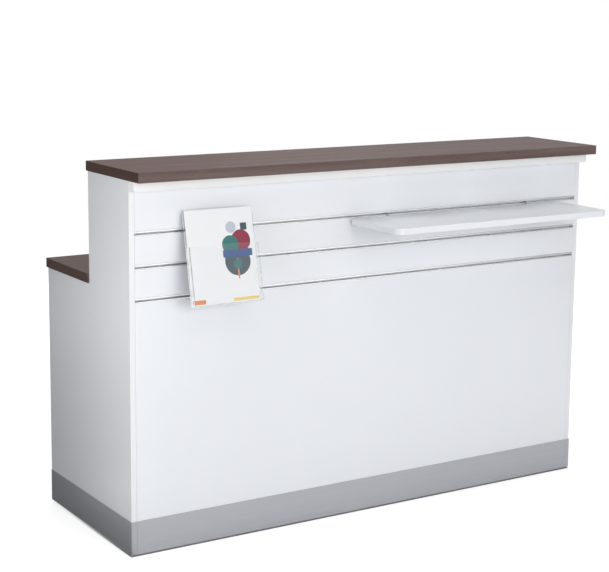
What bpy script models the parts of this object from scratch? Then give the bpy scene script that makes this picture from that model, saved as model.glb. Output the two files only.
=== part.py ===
"""Reception desk with a raised counter, a slotted display front and a low worktop for staff.

Metres, +Z up. The visitor's side faces -Y, and the desk stands on z = 0 with its box centred on the origin.
Depths below are measured from the face of the front boards: positive goes into the desk.
"""

from math import cos, pi, radians, sin

import bmesh
import bpy
from mathutils import Matrix, Vector

# Clearances and edges
GAP = 0.0003
BOARD_EDGE = 0.0008
TOP_EDGE = 0.0015
METAL_EDGE = 0.0004
EDGE_STEPS = 2
ROUND_SIDES = 32
SAME_POINT = 0.00001
CREASE = radians(35)

# Carcass
BODY_WIDTH = 1.590
BODY_DEPTH = 0.555
TALL_DEPTH = 0.260
FLOOR_GAP = 0.004
SIDE_BOARD = 0.016
FRONT_BOARD = 0.018
BACK_BOARD = 0.012
BACK_BOARD_BOTTOM = 0.620

# Counter, pelmet and worktop
TOP_BOARD = 0.028
TOP_LENGTH = 1.600
TOP_BACK_OVERHANG = 0.003
COUNTER_HEIGHT = 1.075
COUNTER_FRONT_OVERHANG = 0.070
PELMET_REACH = 0.031
PELMET_DEPTH = 0.120
PELMET_BOARD = 0.028
WORKTOP_HEIGHT = 0.755
RAIL_BOARD = 0.018
RAIL_HEIGHT = 0.080
CLEAT = 0.020
CLEAT_HEIGHT = 0.028

# Display slots: each lies between two boards and is lined with two aluminium rails
SLOT_BOTTOMS = {"top": 0.896, "middle": 0.8045, "bottom": 0.713}
SLOT_HEIGHT = 0.0125
LOWER_RAIL_HEIGHT = 0.0025
LOWER_RAIL_DEPTH = 0.014
UPPER_RAIL_HEIGHT = 0.0045
UPPER_RAIL_DEPTH = 0.006

# Silver band at the floor
KICK_HEIGHT = 0.100
KICK_SHEET = 0.001

# Levelling feet
FOOT_BLOCK = 0.034
FOOT_BLOCK_HEIGHT = 0.040
FOOT_DEPTHS = (0.067, 0.517)
FOOT_PAD_RADIUS = 0.014
FOOT_PAD_HEIGHT = 0.006
FOOT_PAD_CHAMFER = 0.001
FOOT_PAD_SIDE = 0.004
FOOT_PAD_SLOPE = 0.003
STUD_RADIUS = 0.004
STUD_TOP = 0.034
STUD_BORE_RADIUS = 0.0045
STUD_BORE_TOP = 0.038

# Steel angles in the front corners
ANGLE_LEG = 0.040
ANGLE_SHEET = 0.0025
ANGLE_HEIGHT = 0.060
ANGLE_BOTTOMS = (0.160, 0.500)

# Light in the pelmet
SPOT_CENTRE = 1.135 - BODY_WIDTH / 2
SPOT_PITCH = 0.305
SPOT_HOLE_RADIUS = 0.0105
SPOT_BODY_RADIUS = 0.0102
SPOT_RIM_RADIUS = 0.0125
SPOT_RIM = 0.0012
SPOT_BODY_TOP = 0.0235
LENS_SEAT_RADIUS = 0.0080
LENS_RADIUS = 0.0076
LENS_SEAT = 0.0025
LENS_PROUD = 0.0006
LEAD_WIDTH = 0.006
LEAD_THICKNESS = 0.0025
LEAD_CHASE_WIDTH = 0.008
LEAD_CHASE_DEPTH = 0.0046
LEAD_TOP = 0.0015
DRIVER_SIZE = (0.130, 0.046, 0.026)
DRIVER_EDGE = 0.002
INLET_SIZE = (0.0150, 0.0110, 0.0080)

# Shelf that hooks into the top slot
SHELF_LEFT = 0.712 - BODY_WIDTH / 2
SHELF_LENGTH = 0.790
SHELF_BACK = 0.0045
SHELF_DEPTH = 0.230
SHELF_BOARD = 0.018
SHELF_TOP = 0.8955
SHELF_CORNER = 0.025
SHELF_CORNER_STEPS = 6
BRACKET_INSET = 0.130
BRACKET_SHEET = 0.005
BRACKET_REACH = 0.185
BRACKET_NOSE = 0.008
BRACKET_FOOT = 0.036
BRACKET_NECK = 0.0040
BRACKET_CLEARANCE = 0.0008

# Hooks in the top slot, of the shelf brackets and of the leaflet holder
HOOK_CLEARANCE = 0.0004
HOOK_START = 0.0066
HOOK_SHEET = 0.0040
HOOK_RISE = 0.0044

# Leaflet holder, square to its own slant; its zero is the foot of the leaflet's front
HOLDER_CENTRE = 0.261 - BODY_WIDTH / 2
HOLDER_SLANT = radians(12.0)
HOLDER_FOOT_REACH = 0.070
HOLDER_FOOT_HEIGHT = 0.703
LEAFLET_WIDTH = 0.210
LEAFLET_HEIGHT = 0.260
LEAFLET_THICKNESS = 0.0016
CLEAR_SHEET = 0.003
HOLDER_WIDTH = 0.217
HOLDER_BACK_HEIGHT = 0.250
POCKET_HEIGHT = 0.160
POCKET_DEPTH = 0.014
HOLDER_HOOK_WIDTH = 0.160
HOLDER_HOOK_FLANGE = 0.035
STANDOFF_WIDTH = 0.120
STANDOFF_RISE = 0.020

# Derived places
FRONT = (SHELF_BACK + SHELF_DEPTH - BODY_DEPTH - TOP_BACK_OVERHANG) / 2
HALF_WIDTH = BODY_WIDTH / 2
INNER_HALF = HALF_WIDTH - SIDE_BOARD
COUNTER_BOTTOM = COUNTER_HEIGHT - TOP_BOARD
PELMET_BOTTOM = COUNTER_BOTTOM - PELMET_BOARD
WORKTOP_BOTTOM = WORKTOP_HEIGHT - TOP_BOARD
BACK_OF_FRONT = FRONT_BOARD + GAP + BACK_BOARD
SPOT_DEPTH = -PELMET_REACH / 2
TOP_SLOT = SLOT_BOTTOMS["top"]
TOP_SLOT_FLOOR = TOP_SLOT + LOWER_RAIL_HEIGHT
TOP_SLOT_CEILING = TOP_SLOT + SLOT_HEIGHT - UPPER_RAIL_HEIGHT

# Finishes: colour, roughness, metallic, transmission
WHITE = ((0.86, 0.87, 0.89), 0.38, 0.0, 0.0)
WALNUT = ((0.115, 0.075, 0.060), 0.42, 0.0, 0.0)
SILVER = ((0.42, 0.43, 0.45), 0.38, 0.6, 0.0)
ALUMINIUM = ((0.78, 0.79, 0.80), 0.25, 1.0, 0.0)
STEEL = ((0.55, 0.56, 0.58), 0.35, 1.0, 0.0)
BLACK = ((0.02, 0.02, 0.02), 0.5, 0.0, 0.0)
CLEAR = ((0.95, 0.97, 0.98), 0.05, 0.0, 0.95)
PAPER = ((0.88, 0.88, 0.88), 0.6, 0.0, 0.0)
FROSTED = ((0.95, 0.93, 0.88), 0.3, 0.0, 0.2)


def clear_scene():
    for item in list(bpy.data.objects):
        bpy.data.objects.remove(item, do_unlink=True)


def material(name, finish):
    colour, roughness, metallic, transmission = finish
    made = bpy.data.materials.new(name)
    made.use_nodes = True
    shader = made.node_tree.nodes["Principled BSDF"]
    shader.inputs["Base Color"].default_value = (*colour, 1.0)
    shader.inputs["Roughness"].default_value = roughness
    shader.inputs["Metallic"].default_value = metallic
    shader.inputs["Transmission Weight"].default_value = transmission
    return made


def finish_piece(name, shape, finish, place=(0.0, 0.0, 0.0)):
    """Turn a bmesh into a named object at a place, with a material of its own."""
    bmesh.ops.recalc_face_normals(shape, faces=shape.faces[:])
    mesh = bpy.data.meshes.new(name)
    shape.to_mesh(mesh)
    shape.free()
    piece = bpy.data.objects.new(name, mesh)
    piece.location = place
    mesh.materials.append(material(name + "_finish", finish))
    bpy.context.scene.collection.objects.link(piece)
    return piece


def round_edges(shape, width):
    bmesh.ops.bevel(shape, geom=shape.edges[:], offset=width, offset_type="OFFSET", affect="EDGES",
                    segments=EDGE_STEPS, profile=0.5, material=-1)


def board(name, low, high, finish, edge=BOARD_EDGE):
    """A straight board between two corners, given as (x, depth, z)."""
    low = Vector((low[0], low[1] + FRONT, low[2]))
    high = Vector((high[0], high[1] + FRONT, high[2]))
    shape = bmesh.new()
    bmesh.ops.create_cube(shape, size=1.0)
    bmesh.ops.scale(shape, vec=high - low, verts=shape.verts[:])
    round_edges(shape, edge)
    return finish_piece(name, shape, finish, (low + high) / 2)


def prism(name, outline, sweep, finish, edge=0.0):
    """An outline of corner points, swept along a vector."""
    shape = bmesh.new()
    base = shape.faces.new([shape.verts.new(point) for point in outline])
    swept = bmesh.ops.extrude_face_region(shape, geom=[base])
    top = [item for item in swept["geom"] if isinstance(item, bmesh.types.BMVert)]
    bmesh.ops.translate(shape, vec=Vector(sweep), verts=top)
    bmesh.ops.recalc_face_normals(shape, faces=shape.faces[:])
    if edge:
        round_edges(shape, edge)
    return finish_piece(name, shape, finish)


def plan_prism(name, outline, bottom, top, finish, edge=BOARD_EDGE):
    """An outline in plan, as (x, depth) points, raised from bottom to top."""
    points = [(x, depth + FRONT, bottom) for x, depth in outline]
    return prism(name, points, (0.0, 0.0, top - bottom), finish, edge)


def side_prism(name, outline, left, right, finish, edge=BOARD_EDGE):
    """An outline seen from the side, as (depth, z) points, swept from left to right."""
    points = [(left, depth + FRONT, z) for depth, z in outline]
    return prism(name, points, (right - left, 0.0, 0.0), finish, edge)


def turned(name, profile, place, finish):
    """A profile of (radius, z) points turned about the vertical through a place."""
    shape = bmesh.new()
    rim = [shape.verts.new((radius, 0.0, z)) for radius, z in profile]
    edges = [shape.edges.new(pair) for pair in zip(rim, rim[1:])]
    bmesh.ops.spin(shape, geom=rim + edges, cent=(0, 0, 0), axis=(0, 0, 1), angle=2 * pi,
                   steps=ROUND_SIDES, use_merge=True)
    bmesh.ops.remove_doubles(shape, verts=shape.verts[:], dist=SAME_POINT)
    piece = finish_piece(name, shape, finish, place)
    piece.data.shade_smooth()
    piece.data.set_sharp_from_angle(angle=CREASE)
    return piece


def cutter(name, shape, place):
    """A hidden shape that a Boolean takes away from a piece."""
    bmesh.ops.recalc_face_normals(shape, faces=shape.faces[:])
    mesh = bpy.data.meshes.new(name)
    shape.to_mesh(mesh)
    shape.free()
    tool = bpy.data.objects.new(name, mesh)
    tool.location = place
    tool.hide_render = True
    tool.display_type = "WIRE"
    bpy.context.scene.collection.objects.link(tool)
    return tool


def cut_box(piece, low, high):
    low = Vector((low[0], low[1] + FRONT, low[2]))
    high = Vector((high[0], high[1] + FRONT, high[2]))
    shape = bmesh.new()
    bmesh.ops.create_cube(shape, size=1.0)
    bmesh.ops.scale(shape, vec=high - low, verts=shape.verts[:])
    take_away(piece, cutter(piece.name + "_cut", shape, (low + high) / 2))


def cut_round(piece, x, depth, bottom, top, radius):
    shape = bmesh.new()
    bmesh.ops.create_cone(shape, cap_ends=True, segments=ROUND_SIDES, radius1=radius, radius2=radius,
                          depth=top - bottom)
    take_away(piece, cutter(piece.name + "_bore", shape, (x, depth + FRONT, (bottom + top) / 2)))


def take_away(piece, tool):
    cut = piece.modifiers.new(tool.name, "BOOLEAN")
    cut.operation = "DIFFERENCE"
    cut.solver = "EXACT"
    cut.object = tool


def carriage(name, place, pieces):
    """An empty on a joint's axis that carries the pieces which move together."""
    holder = bpy.data.objects.new(name, None)
    holder.location = place
    bpy.context.scene.collection.objects.link(holder)
    for piece in pieces:
        piece.parent = holder
        piece.matrix_parent_inverse = Matrix.Translation(place).inverted()
    return holder


def mirrored(side, near, far):
    """The x span of a piece on one side of the desk, low value first."""
    return tuple(sorted((side * near, side * far)))


def side_panels():
    top = COUNTER_BOTTOM - GAP
    step = WORKTOP_BOTTOM - GAP
    outline = [(0, FLOOR_GAP), (BODY_DEPTH, FLOOR_GAP), (BODY_DEPTH, step), (TALL_DEPTH, step),
               (TALL_DEPTH, top), (0, top)]
    for name, side in (("left_side_panel", -1), ("right_side_panel", 1)):
        left, right = mirrored(side, INNER_HALF, HALF_WIDTH)
        side_prism(name, outline, left, right, WHITE)


def front_boards():
    half = INNER_HALF - GAP
    names = ("lower_front_panel", "slat_board_bottom", "slat_board_middle", "slat_board_top")
    slots = sorted(SLOT_BOTTOMS.values())
    bottoms = [FLOOR_GAP] + [slot + SLOT_HEIGHT + GAP for slot in slots]
    tops = [slot - GAP for slot in slots] + [PELMET_BOTTOM - GAP]
    for name, bottom, top in zip(names, bottoms, tops):
        board(name, (-half, 0, bottom), (half, FRONT_BOARD, top), WHITE)
    board("slat_back_panel", (-half, FRONT_BOARD + GAP, BACK_BOARD_BOTTOM),
          (half, BACK_OF_FRONT, PELMET_BOTTOM - GAP), WHITE)


def slot_rails():
    half = INNER_HALF - GAP
    for slot, bottom in SLOT_BOTTOMS.items():
        top = bottom + SLOT_HEIGHT
        board(slot + "_slot_lower_rail", (-half, 0, bottom),
              (half, LOWER_RAIL_DEPTH, bottom + LOWER_RAIL_HEIGHT), ALUMINIUM, METAL_EDGE)
        board(slot + "_slot_upper_rail", (-half, 0, top - UPPER_RAIL_HEIGHT),
              (half, UPPER_RAIL_DEPTH, top), ALUMINIUM, METAL_EDGE)


def counter():
    half = TOP_LENGTH / 2
    board("counter_top", (-half, -COUNTER_FRONT_OVERHANG, COUNTER_BOTTOM),
          (half, TALL_DEPTH + TOP_BACK_OVERHANG, COUNTER_HEIGHT), WALNUT, TOP_EDGE)


def stepped_plan(wide_half, wide_from, wide_to, narrow_half, narrow_to):
    """A board that is wide over one stretch of depth and fits between the side panels over the rest."""
    return [(-wide_half, wide_from), (wide_half, wide_from), (wide_half, wide_to), (narrow_half, wide_to),
            (narrow_half, narrow_to), (-narrow_half, narrow_to), (-narrow_half, wide_to),
            (-wide_half, wide_to)]


def spot_places():
    return [SPOT_CENTRE + SPOT_PITCH * step for step in (-1, 0, 1)]


def pelmet():
    outline = stepped_plan(HALF_WIDTH, -PELMET_REACH, -GAP, INNER_HALF - GAP, PELMET_DEPTH)
    piece = plan_prism("counter_pelmet", outline, PELMET_BOTTOM, COUNTER_BOTTOM - GAP, WHITE)
    spots = spot_places()
    over = COUNTER_BOTTOM + TOP_BOARD
    chase_bottom = COUNTER_BOTTOM - LEAD_CHASE_DEPTH
    reach = LEAD_CHASE_WIDTH / 2
    for x in spots:
        cut_round(piece, x, SPOT_DEPTH, PELMET_BOTTOM - TOP_BOARD, over, SPOT_HOLE_RADIUS)
    cut_box(piece, (spots[0] - reach, SPOT_DEPTH - reach, chase_bottom),
            (spots[-1] + reach, SPOT_DEPTH + reach, over))
    cut_box(piece, (SPOT_CENTRE - reach, SPOT_DEPTH, chase_bottom),
            (SPOT_CENTRE + reach, PELMET_DEPTH + TOP_BOARD, over))


def worktop():
    outline = stepped_plan(TOP_LENGTH / 2, BODY_DEPTH + TOP_BACK_OVERHANG, TALL_DEPTH + GAP,
                           INNER_HALF - GAP, BACK_OF_FRONT + GAP)
    plan_prism("worktop", outline, WORKTOP_BOTTOM, WORKTOP_HEIGHT, WALNUT, TOP_EDGE)
    top = WORKTOP_BOTTOM - GAP
    half = INNER_HALF - GAP
    rail_front = BACK_OF_FRONT + GAP
    rail_back = rail_front + RAIL_BOARD
    board("worktop_rail", (-half, rail_front, top - RAIL_HEIGHT), (half, rail_back, top), WHITE)
    for name, side in (("left_worktop_cleat", -1), ("right_worktop_cleat", 1)):
        left, right = mirrored(side, half - CLEAT, half)
        board(name, (left, rail_back + GAP, top - CLEAT_HEIGHT), (right, TALL_DEPTH, top), WHITE)


def kick_plates():
    front = -KICK_SHEET - GAP
    edge = METAL_EDGE / 2
    inner = INNER_HALF - GAP
    board("front_kick_plate", (-inner, front, FLOOR_GAP), (inner, -GAP, KICK_HEIGHT), SILVER, edge)
    for word, side in (("left", -1), ("right", 1)):
        left, right = mirrored(side, INNER_HALF, HALF_WIDTH)
        board(word + "_kick_edge", (left, front, FLOOR_GAP), (right, -GAP, KICK_HEIGHT), SILVER, edge)
        left, right = mirrored(side, HALF_WIDTH + GAP, HALF_WIDTH + GAP + KICK_SHEET)
        board(word + "_kick_plate", (left, front, FLOOR_GAP), (right, BODY_DEPTH, KICK_HEIGHT), SILVER, edge)


def levelling_feet():
    profile = [(0, 0), (FOOT_PAD_RADIUS - FOOT_PAD_CHAMFER, 0), (FOOT_PAD_RADIUS, FOOT_PAD_CHAMFER),
               (FOOT_PAD_RADIUS, FOOT_PAD_SIDE), (FOOT_PAD_RADIUS - FOOT_PAD_SLOPE, FOOT_PAD_HEIGHT),
               (STUD_RADIUS, FOOT_PAD_HEIGHT), (STUD_RADIUS, STUD_TOP), (0, STUD_TOP)]
    centre = INNER_HALF - GAP - FOOT_BLOCK / 2
    places = [(side * centre, depth) for side in (-1, 1) for depth in FOOT_DEPTHS]
    reach = FOOT_BLOCK / 2
    bottom = FOOT_PAD_HEIGHT + GAP
    for number, (x, depth) in enumerate(places, start=1):
        block = board(f"foot_block_{number}", (x - reach, depth - reach, bottom),
                      (x + reach, depth + reach, bottom + FOOT_BLOCK_HEIGHT), BLACK)
        cut_round(block, x, depth, -FLOOR_GAP, STUD_BORE_TOP, STUD_BORE_RADIUS)
        turned(f"foot_{number}", profile, (x, depth + FRONT, 0.0), BLACK)


def corner_brackets():
    number = 0
    for side in (-1, 1):
        corner = side * (INNER_HALF - 2 * GAP)
        sheet = side * ANGLE_SHEET
        leg = side * ANGLE_LEG
        start = FRONT_BOARD + GAP
        outline = [(corner, start), (corner, start + ANGLE_LEG), (corner - sheet, start + ANGLE_LEG),
                   (corner - sheet, start + ANGLE_SHEET), (corner - leg, start + ANGLE_SHEET),
                   (corner - leg, start)]
        for bottom in ANGLE_BOTTOMS:
            number += 1
            plan_prism(f"corner_bracket_{number}", outline, bottom, bottom + ANGLE_HEIGHT, STEEL, METAL_EDGE)


def pelmet_lights():
    body = [(0, LENS_SEAT), (LENS_SEAT_RADIUS, LENS_SEAT), (LENS_SEAT_RADIUS, -SPOT_RIM),
            (SPOT_RIM_RADIUS, -SPOT_RIM), (SPOT_RIM_RADIUS, -GAP), (SPOT_BODY_RADIUS, -GAP),
            (SPOT_BODY_RADIUS, SPOT_BODY_TOP), (0, SPOT_BODY_TOP)]
    lens = [(0, -LENS_PROUD - GAP), (LENS_RADIUS / 2, -LENS_PROUD), (LENS_RADIUS, -GAP),
            (LENS_RADIUS, LENS_SEAT - GAP), (0, LENS_SEAT - GAP)]
    for number, x in enumerate(spot_places(), start=1):
        place = (x, SPOT_DEPTH + FRONT, PELMET_BOTTOM)
        turned(f"led_spot_{number}", body, place, ALUMINIUM)
        turned(f"led_lens_{number}", lens, place, FROSTED)
    spots = spot_places()
    reach = LEAD_WIDTH / 2
    top = COUNTER_BOTTOM - LEAD_TOP
    outline = [(spots[0] - reach, SPOT_DEPTH - reach), (spots[-1] + reach, SPOT_DEPTH - reach),
               (spots[-1] + reach, SPOT_DEPTH + reach), (SPOT_CENTRE + reach, SPOT_DEPTH + reach),
               (SPOT_CENTRE + reach, PELMET_DEPTH), (SPOT_CENTRE - reach, PELMET_DEPTH),
               (SPOT_CENTRE - reach, SPOT_DEPTH + reach), (spots[0] - reach, SPOT_DEPTH + reach)]
    plan_prism("led_lead", outline, top - LEAD_THICKNESS, top, WHITE, METAL_EDGE)
    length, depth, height = DRIVER_SIZE
    driver_front = PELMET_DEPTH + GAP
    driver_back = driver_front + depth
    driver_top = COUNTER_BOTTOM - GAP
    driver = board("led_driver", (SPOT_CENTRE - length / 2, driver_front, driver_top - height),
                   (SPOT_CENTRE + length / 2, driver_back, driver_top), WHITE, DRIVER_EDGE)
    inlet_width, inlet_depth, inlet_height = INLET_SIZE
    middle = driver_top - height / 2
    cut_box(driver, (SPOT_CENTRE - inlet_width / 2, driver_back - inlet_depth, middle - inlet_height / 2),
            (SPOT_CENTRE + inlet_width / 2, driver_back + inlet_depth, middle + inlet_height / 2))


def rounded_front_plan(left, right, back, front, radius):
    """A shelf's plan with its two front corners rounded."""
    outline = [(right, back), (left, back)]
    for centre_x, start in ((left + radius, pi), (right - radius, 1.5 * pi)):
        for step in range(SHELF_CORNER_STEPS + 1):
            turn = start + 0.5 * pi * step / SHELF_CORNER_STEPS
            outline.append((centre_x + radius * cos(turn), front + radius + radius * sin(turn)))
    return outline


def display_shelf():
    right = SHELF_LEFT + SHELF_LENGTH
    outline = rounded_front_plan(SHELF_LEFT, right, -SHELF_BACK, -SHELF_BACK - SHELF_DEPTH, SHELF_CORNER)
    shelf = plan_prism("shelf_board", outline, SHELF_TOP - SHELF_BOARD, SHELF_TOP, WHITE)
    under = SHELF_TOP - SHELF_BOARD - GAP
    tongue_bottom = TOP_SLOT_FLOOR + HOOK_CLEARANCE
    tongue_top = TOP_SLOT_CEILING - HOOK_CLEARANCE
    hook_end = HOOK_START + HOOK_SHEET
    profile = [(hook_end, tongue_bottom), (hook_end, tongue_top + HOOK_RISE),
               (HOOK_START, tongue_top + HOOK_RISE), (HOOK_START, tongue_top),
               (-BRACKET_NECK, tongue_top), (-BRACKET_NECK, under), (-BRACKET_REACH, under),
               (-BRACKET_REACH, under - BRACKET_NOSE), (-BRACKET_CLEARANCE, under - BRACKET_FOOT),
               (-BRACKET_CLEARANCE, tongue_bottom)]
    pieces = [shelf]
    for word, x in (("left", SHELF_LEFT + BRACKET_INSET), ("right", right - BRACKET_INSET)):
        pieces.append(side_prism("shelf_bracket_" + word, profile, x - BRACKET_SHEET / 2,
                                 x + BRACKET_SHEET / 2, STEEL, METAL_EDGE))
    carriage("shelf_carriage", (SHELF_LEFT + SHELF_LENGTH / 2, FRONT, TOP_SLOT_FLOOR), pieces)


def slant_board(name, low, high, finish, edge):
    """A straight sheet on the holder's slant; corners are (x from its centre, depth, height) on the slant."""
    low = Vector(low)
    high = Vector(high)
    shape = bmesh.new()
    bmesh.ops.create_cube(shape, size=1.0)
    bmesh.ops.scale(shape, vec=high - low, verts=shape.verts[:])
    bmesh.ops.translate(shape, vec=(low + high) / 2, verts=shape.verts[:])
    round_edges(shape, edge)
    foot = (HOLDER_CENTRE, FRONT - HOLDER_FOOT_REACH, HOLDER_FOOT_HEIGHT)
    piece = finish_piece(name, shape, finish, foot)
    piece.rotation_euler.x = -HOLDER_SLANT
    return piece


def behind_holder(height, off):
    """The (depth, z) point at a height up the slant and a distance behind the holder's back sheet."""
    behind = LEAFLET_THICKNESS + GAP + CLEAR_SHEET + off
    depth = -HOLDER_FOOT_REACH + height * sin(HOLDER_SLANT) + behind * cos(HOLDER_SLANT)
    return depth, HOLDER_FOOT_HEIGHT + height * cos(HOLDER_SLANT) - behind * sin(HOLDER_SLANT)


def height_at(z, off):
    """How far up the slant the surface that far behind the back sheet reaches a level."""
    return (z - behind_holder(0.0, off)[1]) / cos(HOLDER_SLANT)


def leaflet_holder():
    half = HOLDER_WIDTH / 2
    foot = -GAP - CLEAR_SHEET
    back = LEAFLET_THICKNESS + GAP
    inside = -POCKET_DEPTH
    pieces = [
        slant_board("leaflet", (-LEAFLET_WIDTH / 2, 0, 0),
                    (LEAFLET_WIDTH / 2, LEAFLET_THICKNESS, LEAFLET_HEIGHT), PAPER, METAL_EDGE / 2),
        slant_board("holder_back", (-half, back, foot), (half, back + CLEAR_SHEET, HOLDER_BACK_HEIGHT),
                    CLEAR, METAL_EDGE),
        slant_board("holder_front", (-half, inside - CLEAR_SHEET, foot), (half, inside, POCKET_HEIGHT),
                    CLEAR, METAL_EDGE),
        slant_board("holder_base", (-half + CLEAR_SHEET + GAP, inside + GAP, foot),
                    (half - CLEAR_SHEET - GAP, back - GAP, -GAP), CLEAR, METAL_EDGE),
    ]
    for word, side in (("left", -1), ("right", 1)):
        near, far = mirrored(side, half - CLEAR_SHEET, half)
        pieces.append(slant_board(f"holder_{word}_side", (near, inside + GAP, foot),
                                  (far, back - GAP, POCKET_HEIGHT), CLEAR, METAL_EDGE))
    pieces.append(holder_hook())
    pieces.append(holder_standoff())
    carriage("holder_carriage", (HOLDER_CENTRE, FRONT, TOP_SLOT_FLOOR), pieces)


def holder_hook():
    bottom = TOP_SLOT_FLOOR + HOOK_CLEARANCE
    top = bottom + CLEAR_SHEET
    hook_end = HOOK_START + CLEAR_SHEET
    upper = height_at(top, GAP)
    lower = upper - HOLDER_HOOK_FLANGE
    outer = GAP + CLEAR_SHEET
    profile = [behind_holder(upper, GAP), behind_holder(lower, GAP), behind_holder(lower, outer),
               behind_holder(height_at(bottom, outer), outer), (hook_end, bottom),
               (hook_end, TOP_SLOT_CEILING + HOOK_RISE - HOOK_CLEARANCE),
               (HOOK_START, TOP_SLOT_CEILING + HOOK_RISE - HOOK_CLEARANCE), (HOOK_START, top)]
    return side_prism("holder_hook", profile, HOLDER_CENTRE - HOLDER_HOOK_WIDTH / 2,
                      HOLDER_CENTRE + HOLDER_HOOK_WIDTH / 2, CLEAR, METAL_EDGE)


def holder_standoff():
    start = behind_holder(STANDOFF_RISE, GAP)
    end = behind_holder(STANDOFF_RISE + CLEAR_SHEET / cos(HOLDER_SLANT), GAP)
    profile = [start, (-BRACKET_CLEARANCE, start[1]), (-BRACKET_CLEARANCE, end[1]), end]
    return side_prism("holder_standoff", profile, HOLDER_CENTRE - STANDOFF_WIDTH / 2,
                      HOLDER_CENTRE + STANDOFF_WIDTH / 2, CLEAR, METAL_EDGE)


clear_scene()
side_panels()
front_boards()
slot_rails()
counter()
pelmet()
worktop()
kick_plates()
levelling_feet()
corner_brackets()
pelmet_lights()
display_shelf()
leaflet_holder()
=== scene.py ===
"""Looks of a reception desk with a raised counter, a slotted display front and a low worktop.

Metres, +Z up, and the visitor's side faces -Y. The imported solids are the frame, and each piece made here
sits on them.
"""

import logging
from collections.abc import Callable, Iterable, Sequence
from dataclasses import dataclass
from enum import Enum, IntEnum
from math import pi, radians
from typing import Optional, Union

import bmesh
import bpy
from mathutils import Matrix, Quaternion, Vector


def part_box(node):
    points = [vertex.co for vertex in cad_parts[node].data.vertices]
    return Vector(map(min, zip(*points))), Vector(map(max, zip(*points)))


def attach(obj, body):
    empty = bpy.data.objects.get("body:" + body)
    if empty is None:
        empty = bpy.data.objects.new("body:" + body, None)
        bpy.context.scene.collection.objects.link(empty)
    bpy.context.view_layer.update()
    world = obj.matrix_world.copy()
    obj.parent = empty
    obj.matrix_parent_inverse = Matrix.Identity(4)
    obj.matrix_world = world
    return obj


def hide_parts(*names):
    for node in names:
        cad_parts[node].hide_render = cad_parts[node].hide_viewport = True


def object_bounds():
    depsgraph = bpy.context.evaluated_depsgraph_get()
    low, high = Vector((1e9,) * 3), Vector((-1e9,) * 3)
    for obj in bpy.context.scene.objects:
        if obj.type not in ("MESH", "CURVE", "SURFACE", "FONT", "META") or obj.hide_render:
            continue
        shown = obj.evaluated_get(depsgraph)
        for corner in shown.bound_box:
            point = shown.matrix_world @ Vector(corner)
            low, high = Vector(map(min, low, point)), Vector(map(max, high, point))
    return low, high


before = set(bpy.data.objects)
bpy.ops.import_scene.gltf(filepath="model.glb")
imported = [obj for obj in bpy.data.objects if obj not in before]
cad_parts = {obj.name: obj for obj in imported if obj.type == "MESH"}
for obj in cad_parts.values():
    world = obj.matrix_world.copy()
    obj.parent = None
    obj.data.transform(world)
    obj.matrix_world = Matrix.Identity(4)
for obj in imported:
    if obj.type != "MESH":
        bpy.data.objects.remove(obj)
CAD_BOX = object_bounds()

LOG = logging.getLogger("reception_desk")
CREASE = radians(40)
SQUARE_EDGE = radians(60)
FLAT = radians(1)
SAME_POINT = 0.00001
# A face looks along an axis where its normal has more than this of it.
FACING = 0.5
# The range that holds most values of a noise.
MIDDLE = (0.3, 0.7)
ORIGIN = (0.0, 0.0, 0.0)

Point = tuple[float, float, float]
Colour = tuple[float, float, float]
Shape = bmesh.types.BMesh
Corner = bmesh.types.BMVert
Edge = bmesh.types.BMEdge
Node = bpy.types.Node
Tree = bpy.types.NodeTree
Socket = bpy.types.NodeSocket
Sockets = bpy.types.NodeOutputs
Feed = Union[float, Sequence[float], Socket]


class Slot(Enum):
    """Material slots of the record; the script only uses them to tell the clear pieces from the others."""

    WHITE_BOARD = "white_board"
    WALNUT_BOARD = "walnut_board"
    BLACK_PLASTIC = "black_plastic"
    BRACKET_STEEL = "bracket_steel"
    CLEAR_ACRYLIC = "clear_acrylic"
    LEAFLET_PRINT = "leaflet_print"


class Body(Enum):
    """Bodies that new pieces ride on. A foot's name ends in its number."""

    CARCASS = "carcass"
    SHELF = "display_shelf"
    HOLDER = "leaflet_holder"
    FOOT = "levelling_foot_"


class Axis(IntEnum):
    """The directions of the frame, as places in a vector."""

    X = 0
    Y = 1
    Z = 2


class Grain(Enum):
    """Which way the grain of a wood-look face runs, as a turn about the vertical."""

    ALONG_LENGTH = 0.0
    ALONG_DEPTH = pi / 2


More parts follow.
